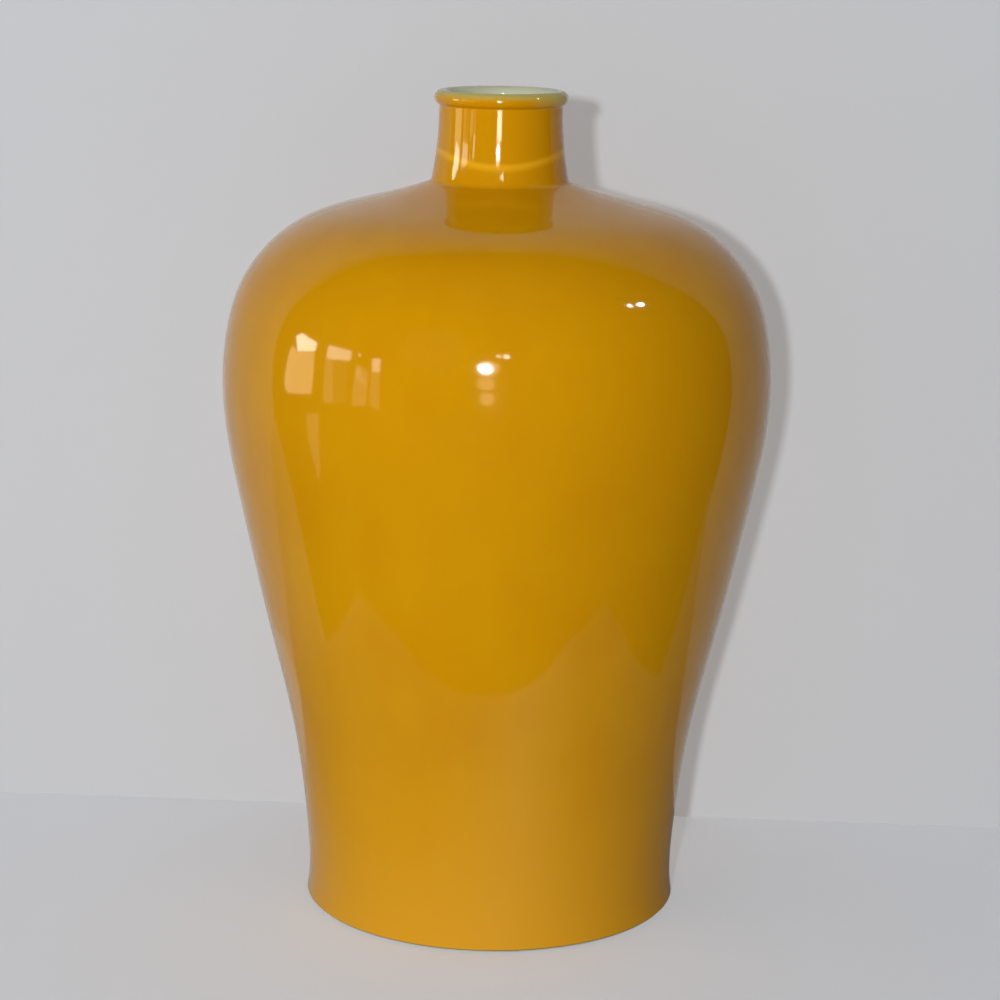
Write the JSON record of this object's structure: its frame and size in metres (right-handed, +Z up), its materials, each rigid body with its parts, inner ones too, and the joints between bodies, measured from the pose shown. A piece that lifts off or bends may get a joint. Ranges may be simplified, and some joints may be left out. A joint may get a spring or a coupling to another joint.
{
  "type": "meiping vase",
  "caption": "Tall glazed vase with a high round belly, closed-in shoulder, narrow neck with a rolled lip and a turned foot ring.",
  "frame": {"origin": "centre of the foot, on the plane that the vase stands on", "axes": "+Z up along the axis of the wheel; the vase is turned, so +X and +Y are free"},
  "size_m": [0.253, 0.2528, 0.38],
  "materials": {
    "yellow_glaze": "gloss",
    "fired_slip": "gloss",
    "white_glaze": "gloss",
    "bare_porcelain": "matte"
  },
  "bodies": {
    "root": {"base_section": "yellow_glaze", "base_slip": "fired_slip", "lower_body_section": "yellow_glaze", "waist_slip": "fired_slip", "upper_body_section": "yellow_glaze", "shoulder_slip": "fired_slip", "shoulder_section": "yellow_glaze", "neck_slip": "fired_slip", "neck_and_lip": "yellow_glaze"}
  },
  "joints": []
}
